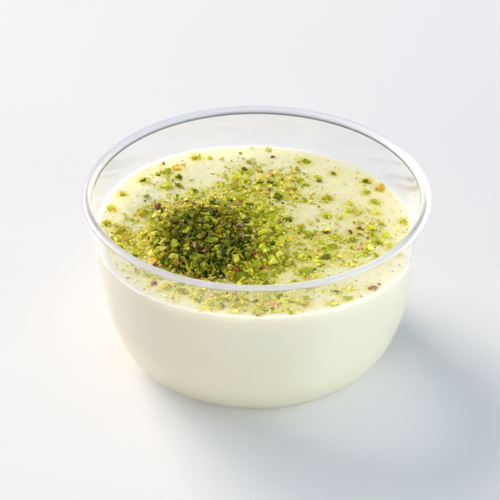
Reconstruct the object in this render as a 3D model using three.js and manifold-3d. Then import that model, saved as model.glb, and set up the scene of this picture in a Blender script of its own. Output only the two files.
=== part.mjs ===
// Kheer, a set rice pudding, in the clear moulded dessert bowl it was chilled in.
// Chopped pistachio is scattered over it and heaped a little left of the middle.
// Millimetres, +Z up. The bowl stands on z = 0 and its axis is the Z axis.
import * as THREE from "three";
import { mergeVertices } from "three/addons/utils/BufferGeometryUtils.js";
import Module from "manifold-3d";

// Bowl: a drafted wall on a rounded foot, with a bead round the rim.
const BOWL_HEIGHT = 51;
const RIM_RADIUS = 50;
const RIM_BEAD_WIDTH = 2.8;
const RIM_BEAD_HEIGHT = 1.3;
const RIM_BEAD_FROM = -70; // degrees, under its outer side
const RIM_BEAD_TO = 180; // degrees, where it meets the inner wall
const UNDER_BEAD = 0.4; // the wall's outside reaches this far below the bead
const WALL = 1.5;
const WALL_RADIUS_AT_FOOT = 42.6; // where the straight wall, carried down, would meet z = 0
const WALL_DRAFT = 0.121; // radius gained for each millimetre of height
const FOOT_TURN_IN = 7.7;
const FOOT_HEIGHT = 20; // the wall is straight above this
const FLOOR = 2.4;
const RECESS_RADIUS = 27; // shallow recess under the base, inside the ring it stands on
const RECESS_DEPTH = 0.6;
const RECESS_BEVEL = 0.8;

// Pudding: spooned in, so its top leans and waves a little, and climbs the wall at its edge.
const CLEARANCE = 0.3; // kept between touching pieces
const SAME_POINT = 0.001; // points closer than this are one
const SURFACE_LEVEL = 38.6;
const SURFACE_WAVES = [
  { times: 1, rise: 0.95, towards: 175 },
  { times: 2, rise: 0.45, towards: -75 },
  { times: 3, rise: 0.6, towards: 34 },
];
const EDGE_CLIMB = 0.3;
const EDGE_CLIMB_WIDTH = 1.4;
const LUMPS = 18;
const LUMP_RISE = 0.55;
const LUMP_SINK = 0.6; // deepest hollow, as a share of the highest lump
const LUMP_SPREAD = [3.5, 8];
const LUMP_REACH = 40;

// Pistachio heap: a low bumpy mound with a ragged outline, and chips lying all over it and past its edge.
const HEAP_X = -10.5;
const HEAP_Y = -8;
const HEAP_REACH_X = 19.5;
const HEAP_REACH_Y = 21.5;
const HEAP_PEAK = 2.8;
const HEAP_EDGE = 0.5;
const HEAP_SWELL = 0.8; // under 1 the mound is full, over 1 it is peaked
const HEAP_RAGGED = [
  { times: 3, share: 0.06, from: -2.25 },
  { times: 5, share: 0.035, from: 2.3 },
  { times: 9, share: 0.03, from: 0 },
];
const HEAP_BUMP = 0.28;
const HEAP_BUMP_WAVES = [
  { x: 0.75, y: 0.3, from: 0 },
  { x: -0.35, y: 0.8, from: 1.3 },
];
const HEAP_OVERHANG = 0.8; // how far a chip may stick out past the outline
const HEAP_FIELD = 1.1; // chips are tried in a field this much wider than the heap
// The larger pieces on the heap: x, y, length, width and turn in degrees.
const HEAP_CHUNKS = [
  [3, 3, 5.2, 3.8, 25],
  [2, -6, 5.4, 2.4, 5],
  [4.5, -11, 4, 3.2, 15],
  [-1.5, 8.5, 3, 2.6, 80],
  [-4.5, -27.5, 3.4, 3, 10],
  [1.5, -23, 2.4, 1.6, -20],
  [-17, -23, 2.6, 2.2, 45],
  [-18, 9.5, 3, 2.2, -15],
  [-5, 9.5, 3, 2.2, 0],
  [-24, -10, 3.2, 1.8, 0],
  [-20.5, 0.5, 3.2, 2.6, 20],
  [-12, 9.5, 3, 2.4, 30],
  [-25, -20.5, 3.4, 2.8, -30],
  [-7, -6.5, 3.2, 2.6, 50],
  [-29.5, -16, 3.6, 2.8, 10],
  [-13.5, -15, 2.8, 2.2, 70],
];
const HEAP_CHIPS = 90;
const HEAP_CHIP_LENGTH = [3.4, 1.7];

// The larger pieces on the open pudding, listed the same way.
const LARGE_CHUNKS = [
  [-34, 23.5, 2.9, 1.4, 30],
  [-27, 28.5, 3.4, 2.6, 60],
  [-23.5, 26, 2.2, 2, 0],
  [-24, 31, 3, 2, 10],
  [-27, 20.5, 3.6, 2.6, 0],
  [-23.5, 21.5, 2.3, 1.8, 90],
  [-18.5, 38, 3, 1.8, 20],
  [-4, 31.5, 3, 2.6, 90],
  [-11, 22, 2.9, 2, 0],
  [-6.5, 21.5, 3, 2.4, -20],
  [-43, 0.5, 2.8, 2.4, 60],
  [-33.5, 5.5, 3.6, 3, -40],
  [-39.5, -2.5, 4.6, 3.8, -55],
  [-37, -7, 2.8, 1.8, 80],
  [-39.5, -10, 3.6, 2, -25],
  [-33.5, -14.5, 3.2, 2.6, 30],
  [-42.5, 8, 2.4, 2, 70],
  [-39.5, 15.5, 2.2, 1.8, 40],
  [14.5, 37, 3.6, 2.2, 5],
  [33, 26, 2.8, 2, -30],
  [37, 22.5, 3, 2.4, 75],
  [35, 14.5, 2.6, 2.2, 0],
  [32.5, 20, 2.3, 1.6, 0],
  [20.5, 16, 3.6, 1.8, -25],
  [6.5, 16.5, 3.4, 2.8, 35],
  [11, 20.5, 2.7, 1.6, 10],
  [10.5, 27, 3, 2.6, -50],
  [3.5, 24.5, 2.4, 1.4, 50],
  [4.5, 30.5, 2.2, 1.6, 0],
  [20.5, 7, 2.9, 2.2, -30],
  [28.5, 9, 4.2, 2.6, 5],
  [33.5, 1, 3.2, 2, -5],
  [34.5, -5, 4.8, 3, -40],
  [30, 0.5, 2.2, 1.6, 0],
  [20, -2, 1.9, 1.6, 0],
  [27.5, -1.5, 1.9, 1.5, 0],
  [14.5, -3.5, 3.2, 2.6, -20],
  [23, -4.5, 2.8, 2.2, 40],
  [21.5, -10, 4.2, 2.2, 5],
  [20, -15.5, 2.7, 2, 20],
  [11.5, -15, 2.4, 1.8, -5],
  [8.5, 4, 3.8, 1.6, -10],
  [13.5, -23, 4.6, 3.6, 65],
  [-28.5, -28.5, 2.2, 1.6, 0],
  [-24.5, -30.5, 3.4, 2.4, -10],
  [-20.5, -33, 3, 2.6, -60],
  [-16.5, -36, 2.8, 2.4, 0],
  [-12.5, -35.5, 2.4, 2, 75],
  [-10, -40, 2.6, 2.2, 20],
  [-4, -37.5, 3.4, 2.6, 0],
  [-0.5, -38.5, 2.6, 2.2, 45],
  [6.5, -36.5, 4.6, 2.2, -5],
  [13, -38.5, 3.2, 1.4, 15],
  [2, -42.5, 2.8, 1.4, 0],
  [22, -32, 2.8, 2, -30],
  [25.5, -30, 2.9, 1.6, 70],
  [21, -38, 2.7, 2, 0],
  [25, -35.5, 2.8, 1.9, 10],
  [32, -29.5, 2.4, 1.7, -10],
  [2.5, -29.5, 2.3, 1.9, 70],
];
const SMALL_CHIPS = 40;
const SMALL_CHIP_LENGTH = [2.5, 1.2];
// Where small chips lie thick: centre, spread and share of the density there.
const SCATTER = [
  { x: -10, y: -8, spread: 26, share: 1 },
  { x: 16, y: -8, spread: 10, share: 1 },
  { x: 28, y: -8, spread: 11, share: 0.7 },
  { x: 4, y: 20, spread: 13, share: 0.6 },
  { x: 0, y: -38, spread: 16, share: 0.6 },
];
const SCATTER_FLOOR = 0.08;

const ROUNDED_FROM = 2.9; // pieces this long are rounded, shorter ones are plain blocks
const CHIP_THICKNESS = 0.62; // of its width
const CHIP_ROUGHNESS = 0.18; // how far its corners are knocked in and out
const CHIP_TILT = 14; // degrees at most
const CHIP_PROUD = 0.22; // how far its middle stands above what it lies on, of its thickness
const CHIP_BLOCK = 0.75; // side of a plain block, of its length
const CHIP_HALF = 0.6; // kept clear round its middle, of its length
const CHIP_SPACING = 0.55; // least distance between two middles, of both lengths together
const CHIP_WIDTH = [0.6, 0.9]; // of its length
const PLACING_TRIALS = 12;

// Facets.
const SIDES = 60;
const FOOT_STEPS = 6;
const BEAD_STEPS = 8;
const HEAP_SIDES = 36;
const HEAP_RINGS = 7;
const HEAP_UNDER_RINGS = 3;
const SURFACE_RINGS = [1, 0.985, 0.96, 0.92, 0.8, 0.66, 0.5, 0.34, 0.17];

const LUMP_SEED = 7;
const SCATTER_SEED = 23;
const HEAP_SEED = 41;

const wasm = await Module();
wasm.setup();

const radians = THREE.MathUtils.degToRad;

// A seeded draw between two values, the same on every run.
function drawsFrom(seed) {
  let state = seed;
  return (low, high) => {
    state = (state * 16807) % 2147483647;
    return low + ((high - low) * state) / 2147483647;
  };
}

// Outer radius of the bowl at height z. A surface inset into the plastic closes at its own floor height.
function wallRadius(z, inset = 0, floor = 0) {
  const below = Math.max(0, 1 - (z - floor) / (FOOT_HEIGHT - floor));
  const turnedIn = FOOT_TURN_IN * (1 - Math.sqrt(1 - below * below));
  return WALL_RADIUS_AT_FOOT + WALL_DRAFT * z - inset - turnedIn;
}

// The rounded foot from its floor up to the straight wall, in equal steps of turn.
function footCurve(inset, floor) {
  const points = [];
  for (let i = 0; i <= FOOT_STEPS; i++) {
    const turn = (Math.PI / 2) * (1 - i / FOOT_STEPS);
    const z = floor + (FOOT_HEIGHT - floor) * (1 - Math.sin(turn));
    points.push(new THREE.Vector2(wallRadius(z, inset, floor), z));
  }
  return points;
}

// The bead is half an ellipse over the wall and a little of its underside.
function rimBead() {
  const across = RIM_BEAD_WIDTH / 2;
  const up = RIM_BEAD_HEIGHT / 2;
  const points = [];
  for (let i = 0; i <= BEAD_STEPS; i++) {
    const turn = radians(RIM_BEAD_FROM + ((RIM_BEAD_TO - RIM_BEAD_FROM) * i) / BEAD_STEPS);
    const x = RIM_RADIUS - across + across * Math.cos(turn);
    points.push(new THREE.Vector2(x, BOWL_HEIGHT - up + up * Math.sin(turn)));
  }
  return points;
}

// Turns a profile of radius and height round the Z axis.
function turned(profile, sides) {
  return new THREE.LatheGeometry(profile, sides).rotateX(Math.PI / 2);
}

function bowlGeometry() {
  const underBead = BOWL_HEIGHT - RIM_BEAD_HEIGHT - UNDER_BEAD;
  const profile = [
    new THREE.Vector2(0, RECESS_DEPTH),
    new THREE.Vector2(RECESS_RADIUS, RECESS_DEPTH),
    new THREE.Vector2(RECESS_RADIUS + RECESS_BEVEL, 0),
    ...footCurve(0, 0),
    new THREE.Vector2(wallRadius(underBead), underBead),
    ...rimBead(),
    ...footCurve(WALL, FLOOR).reverse(),
    new THREE.Vector2(0, FLOOR),
  ];
  return turned(profile, SIDES);
}

const lumps = [];
const drawLump = drawsFrom(LUMP_SEED);
for (let i = 0; i < LUMPS; i++) {
  const reach = LUMP_REACH * Math.sqrt(drawLump(0, 1));
  const turn = drawLump(0, 2 * Math.PI);
  lumps.push({
    x: reach * Math.cos(turn),
    y: reach * Math.sin(turn),
    rise: drawLump(-LUMP_SINK, 1) * LUMP_RISE,
    spread: drawLump(...LUMP_SPREAD),
  });
}

const CONTACT_RADIUS = wallRadius(SURFACE_LEVEL, WALL + CLEARANCE, FLOOR + CLEARANCE);

// Height of the pudding's top: a leaning, waving surface with soft lumps, drawn up where it meets the wall.
function surfaceHeight(x, y) {
  const out = Math.min(1, Math.hypot(x, y) / CONTACT_RADIUS);
  const around = Math.atan2(y, x);
  let height = SURFACE_LEVEL;
  for (const wave of SURFACE_WAVES) {
    height += wave.rise * out ** wave.times * Math.cos(wave.times * (around - radians(wave.towards)));
  }
  for (const lump of lumps) {
    const away = Math.hypot(x - lump.x, y - lump.y) / lump.spread;
    height += lump.rise * Math.exp(-away * away);
  }
  const fromWall = ((1 - out) * CONTACT_RADIUS) / EDGE_CLIMB_WIDTH;
  return height + EDGE_CLIMB * Math.exp(-fromWall * fromWall);
}

// Radius at which the pudding's top meets the wall, in the direction of a point.
function contactRadius(x, y) {
  const scale = CONTACT_RADIUS / Math.hypot(x, y);
  const edge = surfaceHeight(x * scale, y * scale);
  return wallRadius(edge, WALL + CLEARANCE, FLOOR + CLEARANCE);
}

// The pudding fills the bowl, and its flat-turned top is then moved to the true surface.
function puddingGeometry() {
  const floor = FLOOR + CLEARANCE;
  const profile = [new THREE.Vector2(0, floor), ...footCurve(WALL + CLEARANCE, floor)];
  for (const ring of SURFACE_RINGS) {
    profile.push(new THREE.Vector2(ring * CONTACT_RADIUS, SURFACE_LEVEL));
  }
  profile.push(new THREE.Vector2(0, SURFACE_LEVEL));
  const geometry = turned(profile, SIDES);
  const position = geometry.getAttribute("position");
  for (let i = 0; i < position.count; i++) {
    let x = position.getX(i);
    let y = position.getY(i);
    if (position.getZ(i) < SURFACE_LEVEL - SAME_POINT) continue;
    if (Math.hypot(x, y) > SAME_POINT) {
      const scale = contactRadius(x, y) / CONTACT_RADIUS;
      x *= scale;
      y *= scale;
    }
    position.setXYZ(i, x, y, surfaceHeight(x, y));
  }
  return geometry;
}

// Ragged outline of the heap: its reach from its middle in a direction.
function heapReach(turn) {
  const x = Math.cos(turn) / HEAP_REACH_X;
  const y = Math.sin(turn) / HEAP_REACH_Y;
  let reach = 1;
  for (const wave of HEAP_RAGGED) reach += wave.share * Math.sin(wave.times * turn + wave.from);
  return reach / Math.hypot(x, y);
}

// How far a point lies outside the heap's outline, measured from its middle. Negative is inside.
function outsideHeap(x, y) {
  const turn = Math.atan2(y - HEAP_Y, x - HEAP_X);
  return Math.hypot(x - HEAP_X, y - HEAP_Y) - heapReach(turn);
}

// Thickness of the heap's core: a mound with bumps as big as the chips under it.
function heapThickness(x, y) {
  const reach = heapReach(Math.atan2(y - HEAP_Y, x - HEAP_X));
  const out = Math.min(1, Math.hypot(x - HEAP_X, y - HEAP_Y) / reach);
  let bump = 0;
  for (const wave of HEAP_BUMP_WAVES) bump += HEAP_BUMP * Math.sin(wave.x * x + wave.y * y + wave.from);
  return HEAP_EDGE + (HEAP_PEAK - HEAP_EDGE) * (1 - out * out) ** HEAP_SWELL + bump * (1 - out ** 4);
}

// The heap's core is turned as a flat cake, then laid on the pudding with its own thickness.
function heapGeometry() {
  const profile = [];
  for (let i = 0; i <= HEAP_UNDER_RINGS; i++) profile.push(new THREE.Vector2(i / HEAP_UNDER_RINGS, 0));
  for (let i = HEAP_RINGS; i >= 0; i--) profile.push(new THREE.Vector2(i / HEAP_RINGS, 1));
  const geometry = turned(profile, HEAP_SIDES);
  const position = geometry.getAttribute("position");
  for (let i = 0; i < position.count; i++) {
    const out = Math.hypot(position.getX(i), position.getY(i));
    const turn = Math.atan2(position.getY(i), position.getX(i));
    const x = HEAP_X + out * heapReach(turn) * Math.cos(turn);
    const y = HEAP_Y + out * heapReach(turn) * Math.sin(turn);
    const thickness = position.getZ(i) * heapThickness(x, y);
    position.setXYZ(i, x, y, surfaceHeight(x, y) + CLEARANCE + thickness);
  }
  return geometry;
}

function toSolid(geometry) {
  geometry.deleteAttribute("normal");
  geometry.deleteAttribute("uv");
  const merged = mergeVertices(geometry, SAME_POINT);
  return new wasm.Manifold(
    new wasm.Mesh({
      numProp: 3,
      vertProperties: new Float32Array(merged.getAttribute("position").array),
      triVerts: new Uint32Array(merged.getIndex().array),
    }),
  );
}

function fromSolid(solid) {
  const mesh = solid.getMesh();
  const geometry = new THREE.BufferGeometry();
  geometry.setAttribute("position", new THREE.BufferAttribute(mesh.vertProperties, 3));
  geometry.setIndex(new THREE.BufferAttribute(mesh.triVerts, 1));
  geometry.computeVertexNormals();
  return geometry;
}

// One chopped piece: a small angular nugget lying at a slight tilt, partly sunk into its bed.
function chip({ x, y, length, width, turn }, bed, draw) {
  const rounded = length >= ROUNDED_FROM;
  const block = new THREE.BoxGeometry(CHIP_BLOCK, CHIP_BLOCK, CHIP_BLOCK);
  const geometry = rounded ? new THREE.IcosahedronGeometry(0.5, 0) : block;
  geometry.deleteAttribute("normal");
  geometry.deleteAttribute("uv");
  const nugget = mergeVertices(geometry, SAME_POINT);
  const corner = nugget.getAttribute("position");
  for (let i = 0; i < corner.count; i++) {
    const knock = 1 + draw(-CHIP_ROUGHNESS, CHIP_ROUGHNESS);
    corner.setXYZ(i, corner.getX(i) * knock, corner.getY(i) * knock, corner.getZ(i) * knock);
  }
  const thickness = CHIP_THICKNESS * width;
  nugget.scale(length, width, thickness);
  nugget.rotateX(radians(draw(-CHIP_TILT, CHIP_TILT)));
  nugget.rotateY(radians(draw(-CHIP_TILT, CHIP_TILT)));
  nugget.rotateZ(radians(turn));
  nugget.translate(x, y, bed + CHIP_PROUD * thickness);
  return toSolid(nugget);
}

// Chips shrink evenly from the longest to the shortest, so that the largest are placed first.
function chipLength(range, i, count) {
  return range[0] + ((range[1] - range[0]) * i) / (count - 1);
}

function scatterDensity(x, y) {
  let density = SCATTER_FLOOR;
  for (const patch of SCATTER) {
    const away = Math.hypot(x - patch.x, y - patch.y) / patch.spread;
    density = Math.max(density, patch.share * Math.exp(-away * away));
  }
  return density;
}

function clearOfOthers(piece, placed) {
  return placed.every((other) => {
    const apart = Math.hypot(piece.x - other.x, piece.y - other.y);
    return apart > CHIP_SPACING * (piece.length + other.length);
  });
}

// Pieces on the open pudding: the larger ones where they lie, then small chips by the scatter's density.
function scatteredPieces(draw) {
  const placed = [];
  const fits = (piece) => {
    const half = CHIP_HALF * piece.length;
    if (Math.hypot(piece.x, piece.y) + half > CONTACT_RADIUS - CLEARANCE) return false;
    const clearOfHeap = outsideHeap(piece.x, piece.y) > half + HEAP_OVERHANG + CLEARANCE;
    return clearOfHeap && clearOfOthers(piece, placed);
  };
  for (const [x, y, length, width, turn] of LARGE_CHUNKS) {
    const piece = { x, y, length, width, turn };
    if (fits(piece)) placed.push(piece);
  }
  const wanted = placed.length + SMALL_CHIPS;
  while (placed.length < wanted) {
    const length = chipLength(SMALL_CHIP_LENGTH, wanted - placed.length, SMALL_CHIPS);
    const x = draw(-CONTACT_RADIUS, CONTACT_RADIUS);
    const y = draw(-CONTACT_RADIUS, CONTACT_RADIUS);
    const width = length * draw(...CHIP_WIDTH);
    const piece = { x, y, length, width, turn: draw(0, 360) };
    if (draw(0, 1) < scatterDensity(x, y) && fits(piece)) placed.push(piece);
  }
  return placed;
}

// Pieces on the heap: the larger ones where they lie, then smaller ones spread evenly between them. Each of
// these tries several places and takes the one furthest from the rest.
function heapedPieces(draw) {
  const placed = HEAP_CHUNKS.map(([x, y, length, width, turn]) => ({ x, y, length, width, turn }));
  for (let i = 0; i < HEAP_CHIPS; i++) {
    const length = chipLength(HEAP_CHIP_LENGTH, i, HEAP_CHIPS);
    let best = null;
    for (let trial = 0; trial < PLACING_TRIALS; trial++) {
      const x = HEAP_X + draw(-HEAP_FIELD, HEAP_FIELD) * HEAP_REACH_X;
      const y = HEAP_Y + draw(-HEAP_FIELD, HEAP_FIELD) * HEAP_REACH_Y;
      if (outsideHeap(x, y) > HEAP_OVERHANG - CHIP_HALF * length) continue;
      let nearest = Infinity;
      for (const other of placed) nearest = Math.min(nearest, Math.hypot(x - other.x, y - other.y));
      if (!best || nearest > best.nearest) best = { x, y, nearest };
    }
    if (!best) continue;
    placed.push({ ...best, length, width: length * draw(...CHIP_WIDTH), turn: draw(0, 360) });
  }
  return placed;
}

// Lays chips on a core and joins them to it. Each rests where a plumb line through it meets the core.
function withChips(core, pieces, draw) {
  const mesh = new THREE.Mesh(core);
  const plumb = new THREE.Raycaster(new THREE.Vector3(), new THREE.Vector3(0, 0, -1));
  let solid = toSolid(core);
  for (const piece of pieces) {
    plumb.ray.origin.set(piece.x, piece.y, BOWL_HEIGHT);
    const [met] = plumb.intersectObject(mesh);
    solid = solid.add(chip(piece, met.point.z, draw));
  }
  return solid;
}

const clearPlastic = new THREE.MeshStandardMaterial({
  color: 0xf2f4f6,
  roughness: 0.05,
  metalness: 0,
  transparent: true,
  opacity: 0.35,
});
const milkPudding = new THREE.MeshStandardMaterial({ color: 0xf3efc9, roughness: 0.4, metalness: 0 });
const pistachio = new THREE.MeshStandardMaterial({ color: 0x7d8a1e, roughness: 0.7, metalness: 0 });

function named(name, geometry, material) {
  const mesh = new THREE.Mesh(geometry, material);
  mesh.name = name;
  return mesh;
}

const drawScatter = drawsFrom(SCATTER_SEED);
const puddingSolid = withChips(puddingGeometry(), scatteredPieces(drawScatter), drawScatter);

const drawHeap = drawsFrom(HEAP_SEED);
const heapSolid = withChips(heapGeometry(), heapedPieces(drawHeap), drawHeap);

const kheer = new THREE.Group();
kheer.add(named("bowl", bowlGeometry(), clearPlastic));
kheer.add(named("pudding", fromSolid(puddingSolid), milkPudding));
kheer.add(named("pistachio_heap", fromSolid(heapSolid), pistachio));

export default kheer;
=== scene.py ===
# Kheer, a set rice pudding in the clear moulded bowl it was chilled in, topped with chopped pistachio.
# Sizes are in millimetres, the scene in metres. +Z is up and the bowl stands on z = 0.
import math

import bmesh
import bpy
import numpy as np
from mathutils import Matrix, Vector


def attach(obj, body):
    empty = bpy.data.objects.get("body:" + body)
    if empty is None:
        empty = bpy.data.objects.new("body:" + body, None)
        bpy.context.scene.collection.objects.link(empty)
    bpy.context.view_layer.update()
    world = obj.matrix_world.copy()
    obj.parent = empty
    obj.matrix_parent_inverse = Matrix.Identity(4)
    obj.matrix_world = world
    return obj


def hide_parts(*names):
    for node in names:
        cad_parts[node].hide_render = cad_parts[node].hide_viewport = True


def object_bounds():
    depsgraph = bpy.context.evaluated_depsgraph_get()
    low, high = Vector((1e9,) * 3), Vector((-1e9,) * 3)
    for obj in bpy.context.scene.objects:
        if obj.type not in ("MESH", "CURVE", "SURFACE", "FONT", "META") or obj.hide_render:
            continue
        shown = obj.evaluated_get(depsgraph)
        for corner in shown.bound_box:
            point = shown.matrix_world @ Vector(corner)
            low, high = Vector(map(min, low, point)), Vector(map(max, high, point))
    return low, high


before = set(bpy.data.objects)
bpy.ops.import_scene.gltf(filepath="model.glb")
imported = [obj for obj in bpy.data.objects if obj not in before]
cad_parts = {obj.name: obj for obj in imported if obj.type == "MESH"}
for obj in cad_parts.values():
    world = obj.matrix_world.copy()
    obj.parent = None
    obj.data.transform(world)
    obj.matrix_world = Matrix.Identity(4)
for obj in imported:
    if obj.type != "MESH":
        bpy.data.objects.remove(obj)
cad_low, cad_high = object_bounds()

# --- Bowl ---
# A dessert bowl injection moulded in clear polystyrene in one shot: a drafted wall on a rounded foot, with
# a thick bead round the rim for the hand. It is as clear as glass, with faint flow waves from the mould.
MM = 0.001
RIM_RADIUS = cad_high.x / MM
BOWL_HEIGHT = cad_high.z / MM
RIM_BEAD_WIDTH = 2.8
RIM_BEAD_HEIGHT = 1.3
RIM_BEAD_FROM = -70  # degrees, under its outer side
RIM_BEAD_TO = 180  # degrees, where it meets the inner wall
UNDER_BEAD = 0.4
WALL = 1.5
WALL_RADIUS_AT_FOOT = 42.6
WALL_DRAFT = 0.121
FOOT_TURN_IN = 7.7
FOOT_HEIGHT = 20
FLOOR = 2.4
RECESS_RADIUS = 27
RECESS_DEPTH = 0.6
RECESS_BEVEL = 0.8
BOWL_SIDES = 288
FOOT_STEPS = 28
BEAD_STEPS = 30
WALL_STEPS = 36
BEAD_HAZE = 0.38  # roughness
BEAD_CLEARNESS = 0.76  # share of the light that the bead lets through
# Painted shade: a fine dark line on the inner wall under the bead, where its inner edge refracts dark
# surroundings.
PAINTED_DARK_LINE = (1.27, 1.72)  # below the rim, on the inner wall
FLOW_WAVES = (16.7, 16.7, 40)  # across and up the wall
BOWL_CREASE = 30  # degrees


def wall_radius(z, inset=0.0, floor=0.0):
    """Outer radius of the bowl at height z. A surface inset into the plastic closes at its own floor."""
    below = np.clip(1 - (z - floor) / (FOOT_HEIGHT - floor), 0, 1)
    turned_in = FOOT_TURN_IN * (1 - np.sqrt(1 - below * below))
    return WALL_RADIUS_AT_FOOT + WALL_DRAFT * z - inset - turned_in


def foot_curve(inset, floor):
    """Radius and height up the rounded foot, in equal steps of turn."""
    turn = math.pi / 2 * (1 - np.linspace(0, 1, FOOT_STEPS + 1))
    z = floor + (FOOT_HEIGHT - floor) * (1 - np.sin(turn))
    return np.column_stack([wall_radius(z, inset, floor), z])


def straight_wall(top, inset, floor):
    """Radius and height up the straight wall, above the foot, in steps that close up towards its top."""
    z = FOOT_HEIGHT + (top - FOOT_HEIGHT) * np.sin(np.linspace(0, math.pi / 2, WALL_STEPS + 1)[1:])
    return np.column_stack([wall_radius(z, inset, floor), z])


def rim_bead():
    turn = np.radians(np.linspace(RIM_BEAD_FROM, RIM_BEAD_TO, BEAD_STEPS + 1))
    across = RIM_BEAD_WIDTH / 2
    up = RIM_BEAD_HEIGHT / 2
    radius = RIM_RADIUS - across + across * np.cos(turn)
    z = BOWL_HEIGHT - up + up * np.sin(turn)
    return np.column_stack([radius, z])


def revolve(rings):
    """Vertices and faces of a body whose rings, shaped (steps, sides, 3), start and end on the axis."""
    steps, sides = rings.shape[:2]
    inner = rings[1:-1].reshape(-1, 3)
    vertices = np.vstack([rings[0, :1], inner, rings[-1, :1]])
    side = np.arange(sides)
    after = (side + 1) % sides
    faces = [(0, 1 + b, 1 + a) for a, b in zip(side, after)]
    for step in range(steps - 3):
        low = 1 + step * sides
        high = low + sides
        faces += [(low + a, low + b, high + b, high + a) for a, b in zip(side, after)]
    last = 1 + (steps - 3) * sides
    top = len(vertices) - 1
    faces += [(last + a, last + b, top) for a, b in zip(side, after)]
    return vertices, faces


def new_piece(name, vertices, faces, material, sharp_angle=180):
    """A smooth-shaded mesh object from vertices in millimetres, with creases above an angle in degrees."""
    mesh = bpy.data.meshes.new(name)
    mesh.from_pydata(np.asarray(vertices) * MM, [], faces)
    mesh.shade_smooth()
    mesh.set_sharp_from_angle(angle=math.radians(sharp_angle))
    mesh.materials.append(material)
    piece = bpy.data.objects.new(name, mesh)
    bpy.context.scene.collection.objects.link(piece)
    return piece


def linear(colour):
    """A linear colour from its sRGB hex value."""
    parts = [int(colour[i : i + 2], 16) / 255 for i in (1, 3, 5)]
    return [p / 12.92 if p <= 0.04045 else ((p + 0.055) / 1.055) ** 2.4 for p in parts] + [1.0]


def new_material(name):
    material = bpy.data.materials.new(name)
    material.use_nodes = True
    material.node_tree.nodes.clear()
    return material, material.node_tree


def add_node(tree, kind, settings=(), inputs=()):
    """Adds a node. Settings are its own properties. An input is a plain value, or the socket feeding it."""
    node = tree.nodes.new(kind)
    for name, value in dict(settings).items():
        setattr(node, name, value)
    for name, value in dict(inputs).items():
        if isinstance(value, bpy.types.NodeSocket):
            tree.links.new(value, node.inputs[name])
        else:
            node.inputs[name].default_value = value
    return node


def clear_polystyrene():
    """Clear polystyrene, polished by the mould: sharp reflections that waver a little. The thick bead is
    hazier than the wall. Its outer side is tinted cool lavender, a painted reflection of bluish surroundings,
    and a fine dark line under it on the inner wall is painted shade, where the bead's inner edge refracts
    dark surroundings."""
    material, tree = new_material("clear_polystyrene")
    place = add_node(tree, "ShaderNodeTexCoord")
    flow = add_node(
        tree,
        "ShaderNodeMapping",
        inputs={"Vector": place.outputs["Object"], "Scale": [1 / (size * MM) for size in FLOW_WAVES]},
    )
    waves = add_node(
        tree, "ShaderNodeTexNoise", inputs={"Vector": flow.outputs["Vector"], "Scale": 1.0, "Detail": 2.0}
    )
    bump = add_node(
        tree,
        "ShaderNodeBump",
        inputs={"Height": waves.outputs["Fac"], "Strength": 0.05, "Distance": 0.4 * MM},
    )
    bead = add_node(tree, "ShaderNodeAttribute", {"attribute_name": "bead"})
    haze = add_node(tree, "ShaderNodeMath", {"operation": "MULTIPLY"}, {0: bead.outputs["Fac"], 1: BEAD_HAZE})
    clear = add_node(
        tree,
        "ShaderNodeMapRange",
        inputs={"Value": bead.outputs["Fac"], "To Min": 1.0, "To Max": BEAD_CLEARNESS},
    )
    # Painted reflection: the bead's outer side is tinted cool lavender for bluish surroundings mirrored in
    # it.
    outer = add_node(tree, "ShaderNodeAttribute", {"attribute_name": "outer"})
    painted_reflection = add_node(
        tree,
        "ShaderNodeMix",
        {"data_type": "RGBA"},
        {0: outer.outputs["Fac"], 6: linear("#fbfbfe"), 7: linear("#e6e6f6")},
    )
    # Painted shade: the dark line under the bead.
    line = add_node(tree, "ShaderNodeAttribute", {"attribute_name": "line"})
    tint = add_node(
        tree,
        "ShaderNodeMix",
        {"data_type": "RGBA"},
        {0: line.outputs["Fac"], 6: painted_reflection.outputs[2], 7: linear("#4a4a50")},
    )
    plastic = add_node(
        tree,
        "ShaderNodeBsdfPrincipled",
        inputs={
            "Base Color": tint.outputs[2],
            "Roughness": haze.outputs["Value"],
            "IOR": 1.59,
            "Transmission Weight": clear.outputs["Result"],
            "Normal": bump.outputs["Normal"],
        },
    )
    passed = add_node(tree, "ShaderNodeBsdfTransparent", inputs={"Color": linear("#e6e9eb")})
    path = add_node(tree, "ShaderNodeLightPath")
    lit = add_node(
        tree,
        "ShaderNodeMixShader",
        inputs={0: path.outputs["Is Shadow Ray"], 1: plastic.outputs["BSDF"], 2: passed.outputs["BSDF"]},
    )
    add_node(tree, "ShaderNodeOutputMaterial", inputs={"Surface": lit.outputs["Shader"]})
    return material


def around(profile, sides):
    """Turns a profile of radius and height round the Z axis into rings of points."""
    turn = np.arange(sides) * 2 * math.pi / sides
    radius, z = profile[:, :1], profile[:, 1:]
    flat = np.ones_like(turn)
    return np.stack([radius * np.cos(turn), radius * np.sin(turn), z * flat], axis=-1)


under_bead = BOWL_HEIGHT - RIM_BEAD_HEIGHT - UNDER_BEAD
bowl_profile = np.vstack(
    [
        [[0, RECESS_DEPTH], [RECESS_RADIUS, RECESS_DEPTH], [RECESS_RADIUS + RECESS_BEVEL, 0]],
        foot_curve(inset=0, floor=0),
        straight_wall(under_bead, inset=0, floor=0),
        rim_bead(),
        straight_wall(BOWL_HEIGHT - RIM_BEAD_HEIGHT, WALL, FLOOR)[::-1],
        foot_curve(WALL, FLOOR)[::-1],
        [[0, FLOOR]],
    ]
)
bowl = new_piece("bowl_shell", *revolve(around(bowl_profile, BOWL_SIDES)), clear_polystyrene(), BOWL_CREASE)
height = np.array([v.co.z for v in bowl.data.vertices]) / MM
bead = (height > under_bead + UNDER_BEAD / 2).astype(np.float32)
bowl.data.attributes.new("bead", "FLOAT", "POINT").data.foreach_set("value", bead)
below = BOWL_HEIGHT - height
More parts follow.
